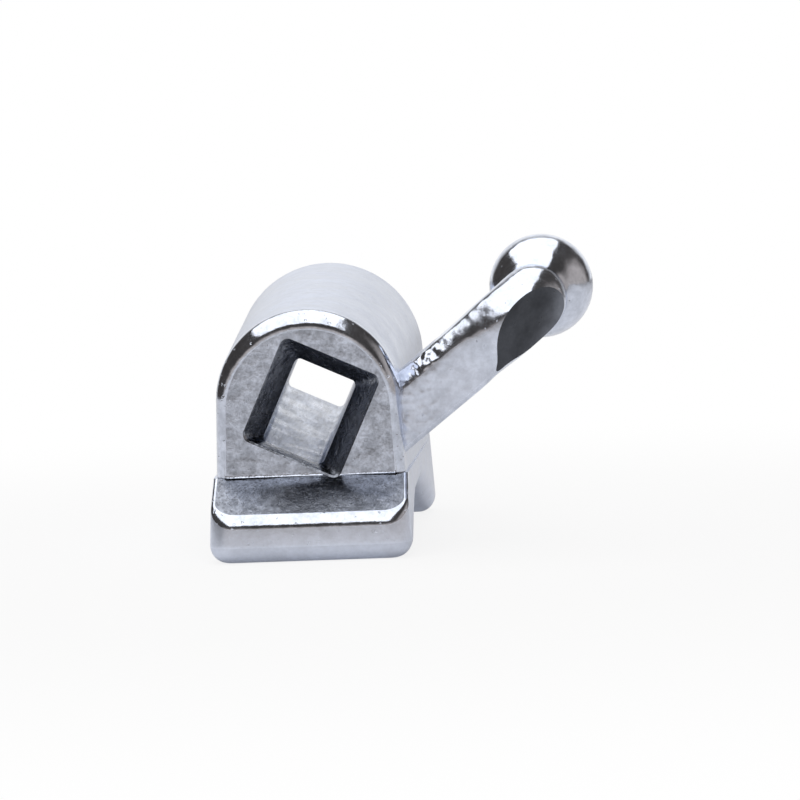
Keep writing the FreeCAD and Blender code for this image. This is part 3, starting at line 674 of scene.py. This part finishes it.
def grind_facet(arm, hook):
    """Grind a flat across the outer lower side of the bend, and give it a nearly black painted
    reflection.
    """
    turn = math.radians(hook.facet_lean)
    swing = math.radians(hook.facet_swing)
    side = Vector((math.cos(turn), 0, -math.sin(turn)))
    normal = side * math.cos(swing) + Vector((0, -math.sin(swing), 0))
    place = Vector((hook.facet_reach, hook.setback, hook.facet_rise))
    edit(arm)
    bpy.ops.mesh.select_all(action="SELECT")
    bpy.ops.mesh.bisect(
        plane_co=place, plane_no=normal, clear_outer=True, use_fill=True, threshold=1e-5
    )
    # The facet gets a nearly black painted reflection
    paint("ground_facet", lambda face: face.normal.dot(normal) > 0.9999)
    leave_edit()


def lengthwise_bar(groove, radius, half_angle):
    """A bar that follows the hollow, about the hollow's centre."""
    bpy.ops.mesh.primitive_plane_add(size=1, location=(0, 0, radius), rotation=(math.pi / 2, 0, 0))
    bar = bpy.context.active_object
    bar.scale = (groove.width, 2 * groove.depth, 1)
    bpy.ops.object.transform_apply(location=True, rotation=True, scale=True)
    bar.data.transform(Matrix.Rotation(-half_angle, 4, "X"))
    edit(bar)
    bpy.ops.mesh.select_all(action="SELECT")
    bpy.ops.mesh.spin(steps=32, angle=-2 * half_angle, center=(0, 0, 0), axis=(1, 0, 0))
    outward()
    leave_edit()
    return bar


def crosswise_bar(groove, radius, length):
    """A straight bar across the hollow, over the hollow's centre."""
    bpy.ops.mesh.primitive_cube_add(size=1, location=(0, 0, radius))
    bar = bpy.context.active_object
    bar.scale = (length, groove.width, 2 * groove.depth)
    bpy.ops.object.transform_apply(location=True, rotation=True, scale=True)
    return bar


def make_grooves(sizes, groove):
    """Thin bars along and across the hollow, as one part to cut away."""
    half = sizes.base_length / 2 - sizes.land
    slope = 2 * math.atan(sizes.hollow / half)
    radius = half / math.sin(slope) - sizes.lip
    bars = []
    rows = math.floor((sizes.base_mesial_width / 2 - groove.rim) / groove.pitch + 0.5)
    for row in range(-rows, rows):
        bar = lengthwise_bar(groove, radius, slope - groove.rim / radius)
        bar.data.transform(Matrix.Translation(((row + 0.5) * groove.pitch, 0, 0)))
        bars.append(bar)
    rows = math.floor((slope * radius - groove.rim) / groove.pitch + 0.5)
    for row in range(-rows, rows):
        bar = crosswise_bar(groove, radius, sizes.base_mesial_width - 2 * groove.rim)
        bar.data.transform(Matrix.Rotation((row + 0.5) * groove.pitch / radius, 4, "X"))
        bars.append(bar)
    grid = bars[0]
    for bar in bars[1:]:
        apply_modifier(grid, "BOOLEAN", object=bar, operation="UNION", solver="EXACT")
        bpy.data.objects.remove(bar, do_unlink=True)
    give_finishes(grid)
    middle_y = sizes.base_length / 2 - seat(sizes)
    grid.data.transform(Matrix.Translation((0, middle_y, sizes.hollow - radius)))
    return grid


# Materials


def node(tree, kind, **settings):
    """A new node, with its inputs or its settings given by name."""
    made = tree.nodes.new(kind)
    for key, value in settings.items():
        if key in made.inputs:
            made.inputs[key].default_value = value
        else:
            setattr(made, key, value)
    return made


def noise(tree, place, size, detail=4.0, stretch=(1, 1, 1)):
    """A noise whose lumps are about so many millimetres across."""
    scale = [share / (size * MM) for share in stretch]
    turn = node(tree, "ShaderNodeMapping")
    turn.inputs["Scale"].default_value = scale
    cloud = node(tree, "ShaderNodeTexNoise", Scale=1.0, Detail=detail, Roughness=0.6)
    tree.links.new(place, turn.inputs["Vector"])
    tree.links.new(turn.outputs["Vector"], cloud.inputs["Vector"])
    return cloud.outputs["Fac"]


def spread(tree, value, low, high, start, end):
    """Carry a value from one range to another, and hold it there."""
    carry = node(tree, "ShaderNodeMapRange", interpolation_type="SMOOTHSTEP")
    for name, number in zip(("From Min", "From Max", "To Min", "To Max"), (low, high, start, end)):
        carry.inputs[name].default_value = number
    tree.links.new(value, carry.inputs["Value"])
    return carry.outputs["Result"]


def times(tree, first, second):
    """The product of two values."""
    product = node(tree, "ShaderNodeMath", operation="MULTIPLY")
    tree.links.new(first, product.inputs[0])
    tree.links.new(second, product.inputs[1])
    return product.outputs[0]


def bump(tree, height, depth, below=None):
    """A relief of so many millimetres on top of another one."""
    relief = node(tree, "ShaderNodeBump")
    relief.inputs["Strength"].default_value = 1.0
    relief.inputs["Distance"].default_value = depth * MM
    tree.links.new(height, relief.inputs["Height"])
    if below:
        tree.links.new(below, relief.inputs["Normal"])
    return relief.outputs["Normal"]


def metal(name, steel, shade, rough, lumps, grain, pits, cloud, dapple, stretch=(1, 1, 1)):
    """A metal with cloudy colour and polish, a lumpy and grainy relief, and scattered pits, its
    colour the steel's times a shade that paints light and shade onto the surface.
    """
    material = bpy.data.materials.new(name)
    material.use_nodes = True
    tree = material.node_tree
    link = tree.links.new
    shader = tree.nodes["Principled BSDF"]
    shader.inputs["Metallic"].default_value = 1.0
    place = node(tree, "ShaderNodeTexCoord").outputs["Object"]
    patches = noise(tree, place, 0.30, detail=5.0)
    swells = noise(tree, place, lumps[0], 1.0, stretch)
    fine = noise(tree, place, grain[0], 4.0, stretch)
    holes = spread(tree, noise(tree, place, pits[0], detail=1.0), pits[1], pits[1] + 0.05, 1, 0)
    link(spread(tree, patches, 0.35, 0.65, *rough), shader.inputs["Roughness"])
    light = spread(tree, patches, 0.35, 0.65, 1 - cloud, 1.0)
    for height in (swells, fine):
        light = times(tree, light, spread(tree, height, 0.35, 0.65, 1 - dapple, 1.0))
    # The steel's colour times the shade, painted light and shade for this surface, then clouded
    tint = node(tree, "ShaderNodeVectorMath", operation="SCALE")
    tint.inputs["Vector"].default_value = Vector(steel) * shade
    link(light, tint.inputs["Scale"])
    link(tint.outputs["Vector"], shader.inputs["Base Color"])
    relief = bump(tree, fine, grain[1], bump(tree, swells, lumps[1]))
    link(bump(tree, holes, pits[2], relief), shader.inputs["Normal"])


def wear_hook(flat):
    """Leave the hook's flats matte and its rounded edges polished, and dapple it near its root."""
    tree = bpy.data.materials["hook_skin"].node_tree
    link = tree.links.new
    shader = tree.nodes["Principled BSDF"]
    place = node(tree, "ShaderNodeTexCoord")
    polish = shader.inputs["Roughness"].links[0].from_socket
    facing = node(tree, "ShaderNodeVectorMath", operation="DOT_PRODUCT")
    facing.inputs[1].default_value = flat
    link(place.outputs["Normal"], facing.inputs[0])
    matte = node(tree, "ShaderNodeMath", operation="MAXIMUM")
    link(polish, matte.inputs[0])
    link(spread(tree, facing.outputs["Value"], 0.93, 0.99, 0.0, 0.34), matte.inputs[1])
    link(matte.outputs[0], shader.inputs["Roughness"])
    reach = node(tree, "ShaderNodeSeparateXYZ")
    link(place.outputs["Object"], reach.inputs["Vector"])
    rough_end = spread(tree, reach.outputs["X"], 0.80 * MM, 1.02 * MM, 1.0, 0.0)
    swells = noise(tree, place.outputs["Object"], 0.08, detail=1.0)
    relief = shader.inputs["Normal"].links[0].from_socket
    link(bump(tree, times(tree, swells, rough_end), 0.014, relief), shader.inputs["Normal"])


def paint_facet_reflection():
    """Paint the ground facet's dark reflection paler toward its far edge: a painted reflection."""
    tree = bpy.data.materials["ground_facet"].node_tree
    link = tree.links.new
    tint = tree.nodes["Principled BSDF"].inputs["Base Color"].links[0].from_node
    depth = node(tree, "ShaderNodeSeparateXYZ")
    link(node(tree, "ShaderNodeTexCoord").outputs["Object"], depth.inputs["Vector"])
    # Painted reflection: up to four times the facet's dark colour toward its far edge
    lift = spread(tree, depth.outputs["Y"], 0.47 * MM, 0.66 * MM, 1.0, 4.0)
    link(times(tree, tint.inputs["Scale"].links[0].from_socket, lift), tint.inputs["Scale"])


def make_finishes_and_painted_light(settings, flat):
    """Every finish of the casting, with its painted light and shade. Flat is the way that the
    hook's front faces.
    """
    for name, finish in FINISHES_AND_PAINTED_LIGHT.items():
        metal(name, settings.steel, **finish)
    wear_hook(flat)
    paint_facet_reflection()


class BUCCAL_OT_casting(Operator):
    """Model the casting: tube, pad, hook, slot and retention grooves"""

    bl_idname = "buccal.casting"
    bl_label = "Casting"

    def execute(self, context):
        sizes = context.scene.buccal_tube
        slot = context.scene.buccal_slot
        hook = context.scene.buccal_hook
        turned = math.radians(sizes.pitch)
        make_finishes_and_painted_light(context.scene.buccal_stage, (0, -math.cos(turned), -math.sin(turned)))
        casting = make_barrel(sizes)
        combine(casting, make_pad(sizes), "UNION")
        combine(casting, make_hook(sizes, hook), "UNION")
        combine(casting, make_slot_cutter(sizes, slot), "DIFFERENCE")
        combine(casting, make_grooves(sizes, context.scene.buccal_groove), "DIFFERENCE")
        bead_the_crease(casting, sizes)
        casting.name = CASTING
        casting.data.transform(Matrix.Scale(MM, 4))
        activate(casting)
        bpy.ops.object.shade_smooth_by_angle(angle=math.radians(32))
        apply_modifier(casting, "WEIGHTED_NORMAL", keep_sharp=True, weight=100)
        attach(casting, "root")
        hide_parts("buccal_tube")
        return {"FINISHED"}


# The stage

# The overhead lamp: its place, the point under it, its width and length in millimetres, and its
# brightness, where 1 is white
STRIP_PLACE = (-8.5, -10, 41)
STRIP_TARGET = (-8.5, -10, 0)
STRIP_SIZE = (55, 108)
STRIP_RADIANCE = 1.55
# The share of the white floor that the metal shows over the lit one
MIRRORED_WHITE = 0.25


def make_camera(context, settings, sizes):
    """The photograph's camera, placed about the tube's frame and carried to the row's."""
    azimuth = math.radians(settings.azimuth)
    elevation = math.radians(settings.elevation)
    ahead = Vector(
        (
            -math.sin(azimuth) * math.cos(elevation),
            math.cos(azimuth) * math.cos(elevation),
            -math.sin(elevation),
        )
    )
    level = ahead.cross(Vector((0, 0, 1))).normalized()
    upright = level.cross(ahead)
    roll = math.radians(settings.roll)
    right = level * math.cos(roll) - upright * math.sin(roll)
    up = level * math.sin(roll) + upright * math.cos(roll)
    aim = Vector((0.64, 0.0, 0.505))
    stand = aim - ahead * settings.distance
    turn = Matrix((right, up, -ahead)).transposed().to_4x4()
    data = bpy.data.cameras.new("camera")
    data.sensor_width = 36.0
    data.lens = data.sensor_width * settings.pixels_per_mm * settings.distance / settings.picture
    data.clip_start = 0.001
    data.clip_end = 10.0
    camera = bpy.data.objects.new("camera", data)
    context.collection.objects.link(camera)
    placed = to_row(sizes) @ Matrix.Translation(stand) @ turn
    placed.translation = placed.translation * MM
    camera.matrix_world = placed
    context.scene.camera = camera


def soft_box(context, name, place, target, size, radiance):
    """A rectangular lamp that faces a target, in millimetres, with its power set by brightness."""
    data = bpy.data.lights.new(name, "AREA")
    data.shape = "RECTANGLE"
    data.size, data.size_y = [length * MM for length in size]
    data.energy = radiance * math.pi * data.size * data.size_y
    lamp = bpy.data.objects.new(name, data)
    context.collection.objects.link(lamp)
    lamp.location = Vector(place) * MM
    lamp.rotation_euler = (Vector(place) - Vector(target)).to_track_quat("Z", "Y").to_euler()
    lamp.visible_camera = False


def make_floor(context):
    """A white floor that keeps a faint shadow under the object and has no horizon."""
    bpy.ops.mesh.primitive_plane_add(size=1.2, location=(0, 0, 0))
    floor = context.active_object
    floor.name = "floor"
    material = bpy.data.materials.new("white_paper")
    material.use_nodes = True
    tree = material.node_tree
    link = tree.links.new
    shader = tree.nodes["Principled BSDF"]
    shader.inputs["Base Color"].default_value = (0.86, 0.86, 0.87, 1)
    shader.inputs["Roughness"].default_value = 0.9
    shader.inputs["Specular IOR Level"].default_value = 0.0
    glow = node(tree, "ShaderNodeEmission")
    glow.inputs["Strength"].default_value = 1.0
    away = node(tree, "ShaderNodeVectorMath", operation="LENGTH")
    link(node(tree, "ShaderNodeTexCoord").outputs["Object"], away.inputs[0])
    share = spread(tree, away.outputs["Value"], 3 * MM, 12 * MM, 0.85, 1.0)
    path = node(tree, "ShaderNodeLightPath")
    mirrored = node(tree, "ShaderNodeMath", operation="MULTIPLY_ADD")
    link(path.outputs["Is Glossy Ray"], mirrored.inputs[0])
    mirrored.inputs[1].default_value = MIRRORED_WHITE
    link(path.outputs["Is Camera Ray"], mirrored.inputs[2])
    seen = times(tree, mirrored.outputs[0], share)
    mix = node(tree, "ShaderNodeMixShader")
    link(seen, mix.inputs["Fac"])
    link(shader.outputs["BSDF"], mix.inputs[1])
    link(glow.outputs["Emission"], mix.inputs[2])
    link(mix.outputs["Shader"], tree.nodes["Material Output"].inputs["Surface"])
    floor.data.materials.append(material)


def make_world(context):
    """A dim warm room, paler low in front and to the right, with a white backdrop behind.

    The camera sees white everywhere, and the metal shows the backdrop.
    """
    world = bpy.data.worlds.new("studio")
    context.scene.world = world
    world.use_nodes = True
    tree = world.node_tree
    link = tree.links.new
    backdrop = tree.nodes["Background"]
    backdrop.inputs["Color"].default_value = (1, 1, 1, 1)
    room = node(tree, "ShaderNodeBackground")
    room.inputs["Color"].default_value = (1.0, 0.90, 0.82, 1)
    split = node(tree, "ShaderNodeSeparateXYZ")
    link(node(tree, "ShaderNodeTexCoord").outputs["Generated"], split.inputs["Vector"])
    low = spread(tree, split.outputs["Z"], 0.05, 0.25, 0.55, 0.0)
    glow = times(tree, low, spread(tree, split.outputs["Y"], -0.8, -0.4, 1.0, 0.0))
    light = node(tree, "ShaderNodeMath", operation="ADD")
    link(spread(tree, split.outputs["X"], 0.68, 0.92, 0.07, 0.50), light.inputs[0])
    link(glow, light.inputs[1])
    link(light.outputs[0], room.inputs["Strength"])
    behind = spread(tree, split.outputs["Y"], 0.70, 0.92, 0.0, 1.0)
    path = node(tree, "ShaderNodeLightPath")
    bounced = node(tree, "ShaderNodeMath", operation="ADD")
    link(path.outputs["Is Glossy Ray"], bounced.inputs[0])
    link(path.outputs["Is Transmission Ray"], bounced.inputs[1])
    white = node(tree, "ShaderNodeMath", operation="ADD", use_clamp=True)
    link(path.outputs["Is Camera Ray"], white.inputs[0])
    link(times(tree, bounced.outputs[0], behind), white.inputs[1])
    mix = node(tree, "ShaderNodeMixShader")
    link(white.outputs[0], mix.inputs["Fac"])
    link(room.outputs["Background"], mix.inputs[1])
    link(backdrop.outputs["Background"], mix.inputs[2])
    link(mix.outputs["Shader"], tree.nodes["World Output"].inputs["Surface"])


class BUCCAL_OT_stage(Operator):
    """Set the floor, the lamps, the backdrop and the camera"""

    bl_idname = "buccal.stage"
    bl_label = "Stage"

    def execute(self, context):
        settings = context.scene.buccal_stage
        make_floor(context)
        make_world(context)
        soft_box(context, "overhead_strip", STRIP_PLACE, STRIP_TARGET, STRIP_SIZE, STRIP_RADIANCE)
        make_camera(context, settings, context.scene.buccal_tube)
        context.scene.view_settings.view_transform = "Standard"
        return {"FINISHED"}


class BUCCAL_PT_panel(Panel):
    """The casting's and the stage's sizes, and the buttons that build them."""

    bl_idname = "BUCCAL_PT_panel"
    bl_label = "Buccal tube"
    bl_space_type = "VIEW_3D"
    bl_region_type = "UI"
    bl_category = "Buccal tube"

    def draw(self, context):
        for name in GROUPS:
            group = getattr(context.scene, name)
            for key in group.__annotations__:
                self.layout.prop(group, key)
        self.layout.operator(BUCCAL_OT_casting.bl_idname)
        self.layout.operator(BUCCAL_OT_stage.bl_idname)


CLASSES = (
    BuccalTubeSizes,
    BuccalSlotSizes,
    BuccalHookSizes,
    BuccalGrooveSizes,
    BuccalStageSettings,
    BUCCAL_OT_casting,
    BUCCAL_OT_stage,
    BUCCAL_PT_panel,
)
GROUPS = {
    "buccal_tube": BuccalTubeSizes,
    "buccal_slot": BuccalSlotSizes,
    "buccal_hook": BuccalHookSizes,
    "buccal_groove": BuccalGrooveSizes,
    "buccal_stage": BuccalStageSettings,
}


def register():
    for cls in CLASSES:
        bpy.utils.register_class(cls)
    for name, group in GROUPS.items():
        setattr(bpy.types.Scene, name, PointerProperty(type=group))


def unregister():
    for name in GROUPS:
        delattr(bpy.types.Scene, name)
    for cls in reversed(CLASSES):
        bpy.utils.unregister_class(cls)


def main():
    register()
    bpy.ops.buccal.casting()
    bpy.ops.buccal.stage()


if __name__ == "__main__":
    main()
